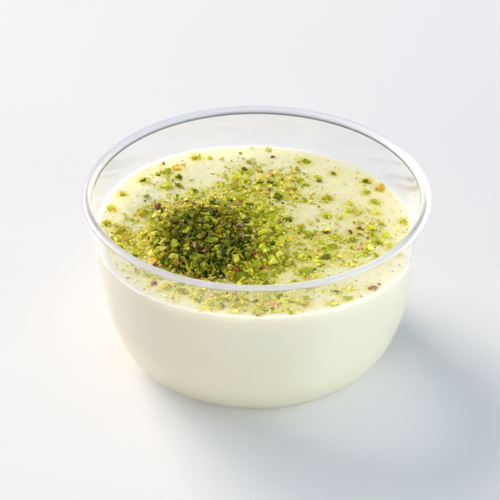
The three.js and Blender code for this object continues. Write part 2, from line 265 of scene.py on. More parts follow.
radius = np.array([math.hypot(v.co.x, v.co.y) for v in bowl.data.vertices]) / MM
# Painted reflection: the outer half of the bead takes the cool tint.
outer = bead * (radius > RIM_RADIUS - RIM_BEAD_WIDTH / 2)
bowl.data.attributes.new("outer", "FLOAT", "POINT").data.foreach_set("value", outer.astype(np.float32))
# Painted shade: the band of the inner wall that takes the dark line.
line = (below > PAINTED_DARK_LINE[0]) & (below < PAINTED_DARK_LINE[1]) & (radius < wall_radius(height) - WALL / 2)
bowl.data.attributes.new("line", "FLOAT", "POINT").data.foreach_set("value", line.astype(np.float32))
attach(bowl, "root")
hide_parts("bowl")

# --- Pudding ---
# Rice cooked down in milk until thick, spooned into the bowl warm and left to set. Its top leans and waves,
# with soft lumps where rice grains lie under the skin, and it clings to the wall all round.
SURFACE_LEVEL = 38.6
SURFACE_WAVES = [(1, 0.95, 175), (2, 0.45, -75), (3, 0.6, 34)]  # times round, rise, degrees
EDGE_CLIMB = 0.3
EDGE_CLIMB_WIDTH = 1.4
LUMPS = 18
LUMP_RISE = 0.55
LUMP_SINK = 0.6
LUMP_SPREAD = (3.5, 8)
LUMP_REACH = 40
LUMP_SEED = 7
CLEARANCE = 0.3
INTO_WALL = 0.25  # the pudding wets the wall, so its piece reaches this far into the plastic
RICE_GRAINS = 420
RICE_LENGTH = (3.0, 5.0)
RICE_WIDTH = (1.1, 1.7)
RICE_RISE = (0.05, 0.22)
RICE_SEED = 5
PUDDING_SIDES = 400
TOP_RINGS = 120
SIDE_STEPS = 26
SKIN_DEPTH = 0.5  # what lies this close to the top counts as its skin
STAIN_FADE = 2.5  # in from the wall, where the top is clean
DUST_FADE = 1.25  # the same for dust
DUST_WEIGHT = 1.5  # of the dust's own share against the noise that breaks it up
SIDE_SHADE_FROM = 4  # height where the painted shade up the side begins
SIDE_SHADE_FADE = 16
DUST_SPECKS = [(1.0, "#dace50", 0.55), (0.65, "#bcb034", 0.4)]  # size, colour and share where dust is thick


def draws_from(seed):
    """A seeded draw between two values, the same on every run."""
    state = seed

    def draw(low, high):
        nonlocal state
        state = state * 16807 % 2147483647
        return low + (high - low) * state / 2147483647

    return draw


draw_lump = draws_from(LUMP_SEED)
lumps = []
for _ in range(LUMPS):
    reach = LUMP_REACH * math.sqrt(draw_lump(0, 1))
    turn = draw_lump(0, 2 * math.pi)
    rise = draw_lump(-LUMP_SINK, 1) * LUMP_RISE
    lumps.append((reach * math.cos(turn), reach * math.sin(turn), rise, draw_lump(*LUMP_SPREAD)))

CONTACT_RADIUS = float(wall_radius(SURFACE_LEVEL, WALL + CLEARANCE, FLOOR + CLEARANCE))


def surface_height(x, y):
    """Height of the pudding's top: it leans and waves, has soft lumps, and climbs a little up the wall."""
    out = np.minimum(1, np.hypot(x, y) / CONTACT_RADIUS)
    turn = np.arctan2(y, x)
    height = SURFACE_LEVEL
    for times, rise, towards in SURFACE_WAVES:
        height = height + rise * out**times * np.cos(times * (turn - math.radians(towards)))
    for lump_x, lump_y, rise, spread in lumps:
        away = np.hypot(x - lump_x, y - lump_y) / spread
        height = height + rise * np.exp(-away * away)
    from_wall = (1 - out) * CONTACT_RADIUS / EDGE_CLIMB_WIDTH
    return height + EDGE_CLIMB * np.exp(-from_wall * from_wall)


def rice_relief(x, y):
    """Soft long bumps of the rice grains that lie just under the skin."""
    rng = np.random.default_rng(RICE_SEED)
    relief = np.zeros_like(x)
    for _ in range(RICE_GRAINS):
        reach = CONTACT_RADIUS * math.sqrt(rng.uniform())
        place = rng.uniform(0, 2 * math.pi)
        turn = rng.uniform(0, math.pi)
        length = rng.uniform(*RICE_LENGTH) / 2
        width = rng.uniform(*RICE_WIDTH) / 2
        east = x - reach * math.cos(place)
        north = y - reach * math.sin(place)
        along = (east * math.cos(turn) + north * math.sin(turn)) / length
        across = (north * math.cos(turn) - east * math.sin(turn)) / width
        relief = np.maximum(relief, rng.uniform(*RICE_RISE) * np.exp(-(along**4) - across**2))
    return relief


# The pistachio heap's ragged outline round its middle, and where chopped pistachio lies thick on the open
# pudding: centre, spread and share of the density there.
HEAP_X = -10.5
HEAP_Y = -8
HEAP_REACH_X = 19.5
HEAP_REACH_Y = 21.5
HEAP_RAGGED = [(3, 0.06, -2.25), (5, 0.035, 2.3), (9, 0.03, 0)]
SCATTER = [(-10, -8, 26, 1.0), (16, -8, 10, 1.0), (28, -8, 11, 0.7), (4, 20, 13, 0.6), (0, -38, 16, 0.6)]
SCATTER_FLOOR = 0.08


def heap_reach(turn):
    """Ragged outline of the heap: its reach from its middle in a direction."""
    reach = 1.0
    for times, share, start in HEAP_RAGGED:
        reach = reach + share * np.sin(times * turn + start)
    return reach / np.hypot(np.cos(turn) / HEAP_REACH_X, np.sin(turn) / HEAP_REACH_Y)


def outside_heap(x, y):
    """How far a point lies outside the heap's outline. Negative is inside."""
    return np.hypot(x - HEAP_X, y - HEAP_Y) - heap_reach(np.arctan2(y - HEAP_Y, x - HEAP_X))


def scatter_density(x, y):
    density = np.full_like(np.asarray(x, float), SCATTER_FLOOR)
    for patch_x, patch_y, spread, share in SCATTER:
        away = np.hypot(x - patch_x, y - patch_y) / spread
        density = np.maximum(density, share * np.exp(-away * away))
    return density


# What is finer than chips falls in loose clumps: thick round the heap, thinner to the right and the front.
LITTER = [
    (15, -12, 12, 0.85),
    (28, -9, 12, 0.6),
    (-2, -38, 17, 0.9),
    (-36, -8, 9, 0.9),
    (2, 20, 14, 1.0),
    (-28, 24, 9, 0.3),
    (34, 2, 8, 0.4),
    (-8, 27, 10, 0.25),
    (12, -26, 10, 0.7),
]
LITTER_FLOOR = 0.06
LITTER_ROUND_HEAP = 1.0
LITTER_REACH = 7.5
CLUMPS = 460
CLUMP_SIZE = (0.8, 3.2)
CLUMP_SEED = 17
BETWEEN_CLUMPS = 0.25


def litter_share(x, y):
    share = np.full_like(np.asarray(x, float), LITTER_FLOOR)
    for patch_x, patch_y, spread, most in LITTER:
        away = np.hypot(x - patch_x, y - patch_y) / spread
        share = np.maximum(share, most * np.exp(-away * away))
    past = np.maximum(0, outside_heap(x, y)) / LITTER_REACH
    return np.maximum(share, LITTER_ROUND_HEAP * np.exp(-past * past))


def spots(count, density, rng):
    """Random places on the pudding's top, as many as wanted, by a density between 0 and 1."""
    places = np.zeros((0, 2))
    while len(places) < count:
        tried = rng.uniform(-CONTACT_RADIUS, CONTACT_RADIUS, (4 * count, 2))
        x, y = tried.T
        lies = (np.hypot(x, y) < CONTACT_RADIUS - CLEARANCE) & (rng.uniform(size=len(tried)) < density(x, y))
        places = np.vstack([places, tried[lies]])
    return places[:count].T


clump_rng = np.random.default_rng(CLUMP_SEED)
clump_x, clump_y = spots(CLUMPS, litter_share, clump_rng)
clump_size = clump_rng.uniform(*CLUMP_SIZE, CLUMPS)


def litter_density(x, y):
    """Share of the pudding covered by crumbs at a point, in clumps with barer pudding between them."""
    clump = np.zeros_like(x)
    for middle_x, middle_y, size in zip(clump_x, clump_y, clump_size):
        away = ((x - middle_x) ** 2 + (y - middle_y) ** 2) / size**2
        clump = np.maximum(clump, np.exp(-away))
    return litter_share(x, y) * (BETWEEN_CLUMPS + (1 - BETWEEN_CLUMPS) * clump)


def set_milk_pudding():
    """Milk thickened with rice starch: scatters light deep inside, with a soft moist sheen. Painted shade
    greys it a little up the side against the wall, and nut oil and dust stain the top yellow where pistachio
    lies."""
    material, tree = new_material("set_milk_pudding")
    place = add_node(tree, "ShaderNodeTexCoord")
    soft = add_node(
        tree,
        "ShaderNodeTexNoise",
        inputs={"Vector": place.outputs["Object"], "Scale": 1 / (9 * MM), "Detail": 3.0},
    )
    cream = add_node(
        tree,
        "ShaderNodeMix",
        {"data_type": "RGBA"},
        {0: soft.outputs["Fac"], 6: linear("#f6f3dc"), 7: linear("#faf8ea")},
    )
    # Painted shade: greyer up the side.
    side_shade = add_node(tree, "ShaderNodeAttribute", {"attribute_name": "side_shade"})
    side = add_node(
        tree,
        "ShaderNodeMix",
        {"data_type": "RGBA"},
        {0: side_shade.outputs["Fac"], 6: cream.outputs[2], 7: linear("#ecebdc")},
    )
    stain = add_node(tree, "ShaderNodeAttribute", {"attribute_name": "stain"})
    stained = add_node(
        tree,
        "ShaderNodeMix",
        {"data_type": "RGBA"},
        {0: stain.outputs["Fac"], 6: side.outputs[2], 7: linear("#f6efc0")},
    )
    dust = add_node(tree, "ShaderNodeAttribute", {"attribute_name": "dust"})
    drift = add_node(
        tree,
        "ShaderNodeTexNoise",
        inputs={"Vector": place.outputs["Object"], "Scale": 1 / (1.5 * MM), "Detail": 4.0, "Roughness": 0.6},
    )
    drifted = add_node(
        tree,
        "ShaderNodeMath",
        {"operation": "MULTIPLY_ADD"},
        {0: dust.outputs["Fac"], 1: DUST_WEIGHT, 2: drift.outputs["Fac"]},
    )
    cover = add_node(
        tree,
        "ShaderNodeMapRange",
        {"interpolation_type": "SMOOTHSTEP"},
        {"Value": drifted.outputs["Value"], "From Min": 0.5, "From Max": 1.45, "To Max": 0.94},
    )
    dusted = add_node(
        tree,
        "ShaderNodeMix",
        {"data_type": "RGBA"},
        {0: cover.outputs["Result"], 6: stained.outputs[2], 7: linear("#e9dd5e")},
    ).outputs[2]
    for size, tone, most in DUST_SPECKS:
        cell = add_node(
            tree,
            "ShaderNodeTexVoronoi",
            inputs={"Vector": place.outputs["Object"], "Scale": 1 / (size * MM), "Randomness": 1.0},
        )
        draw = add_node(tree, "ShaderNodeSeparateColor", inputs={"Color": cell.outputs["Color"]})
        share = add_node(
            tree, "ShaderNodeMath", {"operation": "MULTIPLY"}, {0: dust.outputs["Fac"], 1: most}
        )
        there = add_node(
            tree,
            "ShaderNodeMath",
            {"operation": "LESS_THAN"},
            {0: draw.outputs[0], 1: share.outputs["Value"]},
        )
        soft_edge = add_node(
            tree,
            "ShaderNodeMapRange",
            inputs={"Value": cell.outputs["Distance"], "From Min": 0.6, "From Max": 0.3, "To Max": 0.7},
        )
        speck = add_node(
            tree,
            "ShaderNodeMath",
            {"operation": "MULTIPLY"},
            {0: there.outputs["Value"], 1: soft_edge.outputs["Result"]},
        )
        dusted = add_node(
            tree,
            "ShaderNodeMix",
            {"data_type": "RGBA"},
            {0: speck.outputs["Value"], 6: dusted, 7: linear(tone)},
        ).outputs[2]
    fine = add_node(
        tree,
        "ShaderNodeTexNoise",
        inputs={"Vector": place.outputs["Object"], "Scale": 1 / (0.9 * MM), "Detail": 3.0},
    )
    bump = add_node(
        tree,
        "ShaderNodeBump",
        inputs={"Height": fine.outputs["Fac"], "Strength": 0.25, "Distance": 0.12 * MM},
    )
    pudding_shader = add_node(
        tree,
        "ShaderNodeBsdfPrincipled",
        inputs={
            "Base Color": dusted,
            "Roughness": 0.42,
            "IOR": 1.38,
            "Subsurface Weight": 0.8,
            "Subsurface Radius": (1.0, 0.8, 0.5),
            "Subsurface Scale": 2.2 * MM,
            "Normal": bump.outputs["Normal"],
        },
    )
    add_node(tree, "ShaderNodeOutputMaterial", inputs={"Surface": pudding_shader.outputs["BSDF"]})
    return material


def pudding_rings():
    """Rings from the middle of the bottom, up the side, over the edge and in to the middle of the top."""
    turn = np.arange(PUDDING_SIDES) * 2 * math.pi / PUDDING_SIDES
    inset = WALL - INTO_WALL
    floor = FLOOR - INTO_WALL
    edge_x = CONTACT_RADIUS * np.cos(turn)
    edge_y = CONTACT_RADIUS * np.sin(turn)
    edge = surface_height(edge_x, edge_y)
    rings = [around(np.array([[0, floor]]), PUDDING_SIDES)]
    rings.append(around(foot_curve(inset, floor), PUDDING_SIDES))
    for i in range(1, SIDE_STEPS + 1):
        z = FOOT_HEIGHT + (edge - FOOT_HEIGHT) * i / SIDE_STEPS
        radius = wall_radius(z, inset, floor)
        rings.append(np.stack([radius * np.cos(turn), radius * np.sin(turn), z], axis=-1)[None])
    contact = wall_radius(edge, inset, floor)
    for share in np.linspace(1, 0, TOP_RINGS + 1)[1:]:
        x = share * contact * np.cos(turn)
        y = share * contact * np.sin(turn)
        rings.append(np.stack([x, y, surface_height(x, y) + rice_relief(x, y)], axis=-1)[None])
    return np.vstack(rings)


pudding = new_piece("set_pudding", *revolve(pudding_rings()), set_milk_pudding())
corner = np.array([v.co for v in pudding.data.vertices]) / MM
on_top = np.abs(corner[:, 2] - surface_height(corner[:, 0], corner[:, 1])) < SKIN_DEPTH
inside_wall = np.clip((CONTACT_RADIUS - np.hypot(corner[:, 0], corner[:, 1])) / STAIN_FADE, 0, 1)
stain = on_top * inside_wall
pudding.data.attributes.new("stain", "FLOAT", "POINT").data.foreach_set("value", stain.astype(np.float32))
# Painted shade: the side turns greyer from a little above the foot upward.
side_shade = np.clip((corner[:, 2] - SIDE_SHADE_FROM) / SIDE_SHADE_FADE, 0, 1)
pudding.data.attributes.new("side_shade", "FLOAT", "POINT").data.foreach_set("value", side_shade.astype(np.float32))
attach(pudding, "root")
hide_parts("pudding")

# --- Pistachio ---
# Shelled pistachio chopped with a knife: angular nuggets, yellow-green where cut and darker on the outside,
# with crumbs, dust and scraps of purple skin. It is strewn by hand and heaped left of the middle.
HEAP_PEAK = 2.8
HEAP_EDGE = 0.5
HEAP_SWELL = 0.8
HEAP_BUMP = 0.28
HEAP_BUMP_WAVES = [(0.75, 0.3, 0), (-0.35, 0.8, 1.3)]
CORE_X = -14
CORE_Y = -10.5
CORE_REACH_X = 13.5
CORE_REACH_Y = 17.5
CORE_FADE = (0.75, 1.25)  # shares of the core's reach between which it fades
HEAP_OVERHANG = 0.8
HEAP_FIELD = 1.1
HEAP_CHIPS = 90
HEAP_CHIP_LENGTH = (3.4, 1.7)
HEAP_SEED = 41
SMALL_CHIPS = 40
SMALL_CHIP_LENGTH = (2.5, 1.2)
SCATTER_SEED = 23
ROUNDED_FROM = 2.9
ROUNDED_CORNERS = 12
BLOCK_CORNERS = 8
CHIP_THICKNESS = 0.62
CHIP_TILT = 14
CHIP_PROUD = 0.22
CHIP_HALF = 0.6
CHIP_SPACING = 0.55
CHIP_WIDTH = (0.6, 0.9)
PLACING_TRIALS = 12
DUST_REACH = 0.6  # past a piece's middle, of its length
DUST_PAST_PIECE = 0.9
DUST_ROUND_PIECE = 0.62
SWELLS = 1.6  # radians of a swell over a piece's half width, as nicks are
SWELL_RISE = 0.12  # of a piece's half width, as the next three are
NICK_DEPTH = 0.09
KNIFE_REACH = (0.22, 0.68)  # from the piece's middle to the cut
BARED_FROM = 0.01  # depth of cut that bares the kernel
NICKS = 6
NUT_CREASE = 28  # degrees
NUT_SEED = 11
BLOTCHES = 0.38  # how far a piece's brightness varies over it
OPEN_TONE = 1.39  # brightness of pieces outside the heap's core
CORE_TONE_WITH_SHADE = 0.84  # and in it, darker, partly as painted shade of the packed heap, and differing more
OPEN_TONE_SPREAD = 0.2
CORE_TONE_SPREAD = 0.52

# The larger pieces on the heap: x, y, length, width, turn in degrees and kind.
HEAP_CHUNKS = [
    (3, 3, 5.2, 3.8, 25, "green"),
    (2, -6, 5.4, 2.4, 5, "lime"),
    (4.5, -11, 4, 3.2, 15, "deep"),
    (-1.5, 8.5, 3, 2.6, 80, "deep"),
    (-4.5, -27.5, 3.4, 3, 10, "deep"),
    (1.5, -23, 2.4, 1.6, -20, "skin"),
    (-17, -23, 2.6, 2.2, 45, "lime"),
    (-18, 9.5, 3, 2.2, -15, "skin"),
    (-5, 9.5, 3, 2.2, 0, "pink"),
    (-24, -10, 3.2, 1.8, 0, "pink"),
    (-20.5, 0.5, 3.2, 2.6, 20, "deep"),
    (-12, 9.5, 3, 2.4, 30, "deep"),
    (-25, -20.5, 3.4, 2.8, -30, "deep"),
    (-7, -6.5, 3.2, 2.6, 50, "olive"),
    (-29.5, -16, 3.6, 2.8, 10, "yellow"),
    (-13.5, -15, 2.8, 2.2, 70, "lime"),
]

# The larger pieces on the open pudding, listed the same way.
LARGE_CHUNKS = [
    (-34, 23.5, 2.9, 1.4, 30, "deep"),
    (-27, 28.5, 3.4, 2.6, 60, "green"),
    (-23.5, 26, 2.2, 2, 0, "deep"),
    (-24, 31, 3, 2, 10, "amber"),
    (-27, 20.5, 3.6, 2.6, 0, "lime"),
    (-23.5, 21.5, 2.3, 1.8, 90, "deep"),
    (-18.5, 38, 3, 1.8, 20, "olive"),
    (-4, 31.5, 3, 2.6, 90, "green"),
    (-11, 22, 2.9, 2, 0, "lime"),
    (-6.5, 21.5, 3, 2.4, -20, "olive"),
    (-43, 0.5, 2.8, 2.4, 60, "olive"),
    (-33.5, 5.5, 3.6, 3, -40, "olive"),
    (-39.5, -2.5, 4.6, 3.8, -55, "olive"),
    (-37, -7, 2.8, 1.8, 80, "amber"),
    (-39.5, -10, 3.6, 2, -25, "lime"),
    (-33.5, -14.5, 3.2, 2.6, 30, "lime"),
    (-42.5, 8, 2.4, 2, 70, "lime"),
    (-39.5, 15.5, 2.2, 1.8, 40, "lime"),
    (14.5, 37, 3.6, 2.2, 5, "green"),
    (33, 26, 2.8, 2, -30, "deep"),
    (37, 22.5, 3, 2.4, 75, "amber"),
    (35, 14.5, 2.6, 2.2, 0, "green"),
    (32.5, 20, 2.3, 1.6, 0, "green"),
    (20.5, 16, 3.6, 1.8, -25, "olive"),
    (6.5, 16.5, 3.4, 2.8, 35, "deep"),
    (11, 20.5, 2.7, 1.6, 10, "olive"),
    (10.5, 27, 3, 2.6, -50, "yellow"),
    (3.5, 24.5, 2.4, 1.4, 50, "deep"),
    (4.5, 30.5, 2.2, 1.6, 0, "pink"),
    (20.5, 7, 2.9, 2.2, -30, "lime"),
    (28.5, 9, 4.2, 2.6, 5, "yellow"),
    (33.5, 1, 3.2, 2, -5, "lime"),
    (34.5, -5, 4.8, 3, -40, "green"),
    (30, 0.5, 2.2, 1.6, 0, "skin"),
    (20, -2, 1.9, 1.6, 0, "skin"),
    (27.5, -1.5, 1.9, 1.5, 0, "skin"),
    (14.5, -3.5, 3.2, 2.6, -20, "green"),
    (23, -4.5, 2.8, 2.2, 40, "lime"),
    (21.5, -10, 4.2, 2.2, 5, "green"),
    (20, -15.5, 2.7, 2, 20, "deep"),
    (11.5, -15, 2.4, 1.8, -5, "green"),
    (8.5, 4, 3.8, 1.6, -10, "deep"),
    (13.5, -23, 4.6, 3.6, 65, "green"),
    (-28.5, -28.5, 2.2, 1.6, 0, "skin"),
    (-24.5, -30.5, 3.4, 2.4, -10, "olive"),
    (-20.5, -33, 3, 2.6, -60, "olive"),
    (-16.5, -36, 2.8, 2.4, 0, "lime"),
    (-12.5, -35.5, 2.4, 2, 75, "pink"),
    (-10, -40, 2.6, 2.2, 20, "green"),
    (-4, -37.5, 3.4, 2.6, 0, "olive"),
    (-0.5, -38.5, 2.6, 2.2, 45, "deep"),
    (6.5, -36.5, 4.6, 2.2, -5, "lime"),
    (13, -38.5, 3.2, 1.4, 15, "amber"),
    (2, -42.5, 2.8, 1.4, 0, "green"),
    (22, -32, 2.8, 2, -30, "deep"),
    (25.5, -30, 2.9, 1.6, 70, "yellow"),
    (21, -38, 2.7, 2, 0, "lime"),
    (25, -35.5, 2.8, 1.9, 10, "green"),
    (32, -29.5, 2.4, 1.7, -10, "skin"),
    (2.5, -29.5, 2.3, 1.9, 70, "deep"),
]


def heap_thickness(x, y):
    """Thickness of the heap: a mound with bumps as big as the chips under it, none past its outline."""
    out = np.hypot(x - HEAP_X, y - HEAP_Y) / heap_reach(np.arctan2(y - HEAP_Y, x - HEAP_X))
    inside = np.clip(1 - out * out, 0, 1)
    bump = 0.0
    for along_x, along_y, start in HEAP_BUMP_WAVES:
        bump = bump + HEAP_BUMP * np.sin(along_x * x + along_y * y + start)
    thickness = HEAP_EDGE + (HEAP_PEAK - HEAP_EDGE) * inside**HEAP_SWELL + bump * np.clip(1 - out**4, 0, 1)
    return np.where(out < 1, thickness, 0)


def bed_height(x, y):
    return surface_height(x, y) + heap_thickness(x, y)


def heap_core(x, y):
    """Share of dark close-packed nuts: full in the heap's middle, fading to mealy crumbs at its outline."""
    away = np.hypot((x - CORE_X) / CORE_REACH_X, (y - CORE_Y) / CORE_REACH_Y)
    return np.clip((CORE_FADE[1] - away) / (CORE_FADE[1] - CORE_FADE[0]), 0, 1)


def chip_length(span, i, count):
    return span[0] + (span[1] - span[0]) * i / (count - 1)


def scattered_pieces(draw):
    """Pieces on the open pudding: the larger ones where they lie, then small chips by their density."""
    placed = []

    def fits(x, y, length):
        half = CHIP_HALF * length
        if math.hypot(x, y) + half > CONTACT_RADIUS - CLEARANCE:
            return False
        if outside_heap(x, y) <= half + HEAP_OVERHANG + CLEARANCE:
            return False
        return all(math.hypot(x - p[0], y - p[1]) > CHIP_SPACING * (length + p[2]) for p in placed)

    for piece in LARGE_CHUNKS:
        if fits(*piece[:3]):
            placed.append(piece)
    wanted = len(placed) + SMALL_CHIPS
    while len(placed) < wanted:
        length = chip_length(SMALL_CHIP_LENGTH, wanted - len(placed), SMALL_CHIPS)
        x = draw(-CONTACT_RADIUS, CONTACT_RADIUS)
        y = draw(-CONTACT_RADIUS, CONTACT_RADIUS)
        width = length * draw(*CHIP_WIDTH)
        turn = draw(0, 360)
        if draw(0, 1) < scatter_density(x, y) and fits(x, y, length):
            placed.append((x, y, length, width, turn, None))
    return placed


def heaped_pieces(draw):
    """Pieces on the heap: the larger ones where they lie, then smaller ones spread evenly between them. Each
    of these tries several places and takes the one furthest from the rest."""
    placed = list(HEAP_CHUNKS)
    for i in range(HEAP_CHIPS):
        length = chip_length(HEAP_CHIP_LENGTH, i, HEAP_CHIPS)
        best = None
        for _ in range(PLACING_TRIALS):
            x = HEAP_X + draw(-HEAP_FIELD, HEAP_FIELD) * HEAP_REACH_X
            y = HEAP_Y + draw(-HEAP_FIELD, HEAP_FIELD) * HEAP_REACH_Y
            if outside_heap(x, y) > HEAP_OVERHANG - CHIP_HALF * length:
                continue
            nearest = min((math.hypot(x - p[0], y - p[1]) for p in placed), default=math.inf)
            if best is None or nearest > best[2]:
                best = (x, y, nearest)
        if best is None:
            continue
        width = length * draw(*CHIP_WIDTH)
        placed.append((best[0], best[1], length, width, draw(0, 360), None))
    return placed


def with_tilts(pieces, draw):
    """The tilt of each piece, drawn after its corners as when the solids were made."""
    tilted = []
    for x, y, length, width, turn, kind in pieces:
        for _ in range(ROUNDED_CORNERS if length >= ROUNDED_FROM else BLOCK_CORNERS):
            draw(0, 1)
        tilt = (draw(-CHIP_TILT, CHIP_TILT), draw(-CHIP_TILT, CHIP_TILT))
        tilted.append((x, y, length, width, turn, tilt[0], tilt[1], kind))
    return tilted


def ball(subdivisions):
    """Corners and faces of an even ball of radius 1."""
    work = bmesh.new()
    bmesh.ops.create_icosphere(work, subdivisions=subdivisions, radius=1)
    corners = np.array([v.co for v in work.verts])
    faces = np.array([[v.index for v in f.verts] for f in work.faces])
    work.free()
    return corners, faces


def chopped(places, sizes, turns, rng, subdivisions, cuts):
    """Nuggets with knife cuts: a lumpy ball for each, shaved flat, nicked, stretched, turned and placed.
    Returns corners, faces and how freshly cut each corner is."""
    corners, faces = ball(subdivisions)
    count = len(places)
    shape = np.repeat(corners[None], count, axis=0)
    wave = rng.normal(0, SWELLS, (count, 3, 3))
    start = rng.uniform(0, 2 * math.pi, (count, 3))
    for i in range(3):
        swell = np.sin(np.einsum("nvk,nk->nv", shape, wave[:, i]) + start[:, i, None])
        shape = shape * (1 + SWELL_RISE * swell[..., None])
    fresh = np.zeros(shape.shape[:2])
    for _ in range(cuts):
        normal = rng.normal(0, 1, (count, 3))
        normal /= np.linalg.norm(normal, axis=1, keepdims=True)
        reach = rng.uniform(*KNIFE_REACH, (count, 1))
        over = np.maximum(0, np.einsum("nvk,nk->nv", shape, normal) - reach)
        shape -= over[..., None] * normal[:, None]
        fresh = np.maximum(fresh, over > BARED_FROM)
    for _ in range(2):
        wave = rng.normal(0, NICKS, (count, 3))
        ragged = np.sin(np.einsum("nvk,nk->nv", shape, wave) + rng.uniform(0, 2 * math.pi, (count, 1)))
        shape = shape * (1 + NICK_DEPTH * ragged[..., None])
    shape /= np.abs(shape).max(axis=1, keepdims=True)
    shape *= sizes[:, None] / 2
    for axis, angle in zip((0, 1, 2), np.radians(turns).T):
        first, second = [(1, 2), (2, 0), (0, 1)][axis]
        c, s = np.cos(angle)[:, None], np.sin(angle)[:, None]
        one = shape[..., first] * c - shape[..., second] * s
        two = shape[..., first] * s + shape[..., second] * c
        shape[..., first] = one
        shape[..., second] = two
    shape += places[:, None]
    step = np.arange(count)[:, None, None] * len(corners)
    return shape.reshape(-1, 3), (faces[None] + step).reshape(-1, 3), fresh.ravel()


def chopped_nut(name, outside, inside, roughness=0.55):
    """Chopped kernel: matt, mealy where cut, a little oily on the outside. Every piece has its own tone."""
    material, tree = new_material(name)
    place = add_node(tree, "ShaderNodeTexCoord")
    fresh = add_node(tree, "ShaderNodeAttribute", {"attribute_name": "fresh"})
    tone = add_node(tree, "ShaderNodeAttribute", {"attribute_name": "tone"})
    kernel = add_node(
        tree,
        "ShaderNodeMix",
        {"data_type": "RGBA"},
        {0: fresh.outputs["Fac"], 6: linear(outside), 7: linear(inside)},
    )
    mealy = add_node(
        tree,
        "ShaderNodeTexNoise",
        inputs={"Vector": place.outputs["Object"], "Scale": 1 / (0.7 * MM), "Detail": 3.0, "Roughness": 0.65},
    )
    blotch = add_node(
        tree,
        "ShaderNodeMapRange",
        inputs={
            "Value": mealy.outputs["Fac"],
            "From Min": 0.3,
            "From Max": 0.7,
            "To Min": -BLOTCHES,
            "To Max": BLOTCHES,
        },
    )
    value = add_node(
        tree, "ShaderNodeMath", {"operation": "ADD"}, {0: tone.outputs["Fac"], 1: blotch.outputs["Result"]}
    )
    toned = add_node(
        tree,
        "ShaderNodeHueSaturation",
        inputs={"Color": kernel.outputs[2], "Value": value.outputs["Value"]},
    )
    bump = add_node(
        tree, "ShaderNodeBump", inputs={"Height": mealy.outputs["Fac"], "Strength": 0.5, "Distance": 0.1 * MM}
    )
    nut = add_node(
        tree,
        "ShaderNodeBsdfPrincipled",
        inputs={
            "Base Color": toned.outputs["Color"],
            "Roughness": roughness,
            "IOR": 1.46,
            "Specular IOR Level": 0.12,
            "Normal": bump.outputs["Normal"],
        },
    )
    add_node(tree, "ShaderNodeOutputMaterial", inputs={"Surface": nut.outputs["BSDF"]})
    return material


NUT_COLOURS = {
    "deep": ("#3a440c", "#626c10"),
    "green": ("#6a760e", "#a0a622"),
    "lime": ("#a2a622", "#cacb3e"),
    "olive": ("#786a08", "#ac9c1c"),
    "yellow": ("#c8b942", "#dfd46c"),
    "amber": ("#b8861c", "#dcb03c"),
    "skin": ("#5c2c14", "#8e5630"),
    "pink": ("#ad7a5a", "#d0a68a"),
}
NUT_MATERIALS = {kind: chopped_nut("pistachio_" + kind, *colours) for kind, colours in NUT_COLOURS.items()}


def strew(name, kind, pieces, rng, subdivisions, cuts, brightness):
    """One piece of all the chips of a kind. Each row is x, y, z, length, width, thickness, tilts and turn."""
    rows = np.array(pieces)
    corners, faces, fresh = chopped(rows[:, :3], rows[:, 3:6], rows[:, 6:9], rng, subdivisions, cuts)
    piece = new_piece(name, corners, faces.tolist(), NUT_MATERIALS[kind], NUT_CREASE)
    # Partly painted shade: pieces in the heap's core are toned darker than the same kinds in the open.
    core = heap_core(rows[:, 0], rows[:, 1])
    tone = brightness * (OPEN_TONE + (CORE_TONE_WITH_SHADE - OPEN_TONE) * core)
    spread = OPEN_TONE_SPREAD + (CORE_TONE_SPREAD - OPEN_TONE_SPREAD) * core
    tone = tone * (1 + rng.uniform(-1, 1, len(rows)) * spread)
    tone = np.repeat(tone, len(corners) // len(rows))
    piece.data.attributes.new("fresh", "FLOAT", "POINT").data.foreach_set("value", fresh.astype(np.float32))
    piece.data.attributes.new("tone", "FLOAT", "POINT").data.foreach_set("value", tone.astype(np.float32))
    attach(piece, "root")
    return piece


rng = np.random.default_rng(NUT_SEED)
KINDS = list(NUT_COLOURS)
# Shares of the kinds, in their order above.
ON_HEAP = [0.28, 0.27, 0.14, 0.25, 0.02, 0.01, 0.02, 0.01]
ON_PUDDING = [0.04, 0.17, 0.37, 0.09, 0.27, 0.02, 0.025, 0.015]
ON_HEAP_EDGE = [0.02, 0.19, 0.46, 0.13, 0.16, 0.01, 0.02, 0.01]
IN_HEAP = [0.1, 0.22, 0.22, 0.28, 0.14, 0.01, 0.02, 0.01]
IN_LITTER = [0.0, 0.04, 0.36, 0.06, 0.51, 0.01, 0.015, 0.005]
SHOWN_THICKNESS = 1.15  # a chip rests on its solid's top, and its underside reaches further down
BITS_ROUND_CHUNK = 3
BIT_SHARE = (0.25, 0.5)  # of the chunk's length
BIT_REACH = 0.45  # from the chunk's middle, of its length
BIT_WIDTH = 0.8  # of the bit's length, as the next two are
BIT_THICKNESS = 0.6
BIT_PROUD = 0.2
BIT_TILT = 30
BIT_KINDS = {  # what half of a chunk's bits are, where they aren't its own kind
    "deep": "green",
    "green": "lime",
    "lime": "green",
    "olive": "lime",
    "yellow": "lime",
    "amber": "olive",
}
rows = {kind: [] for kind in KINDS}

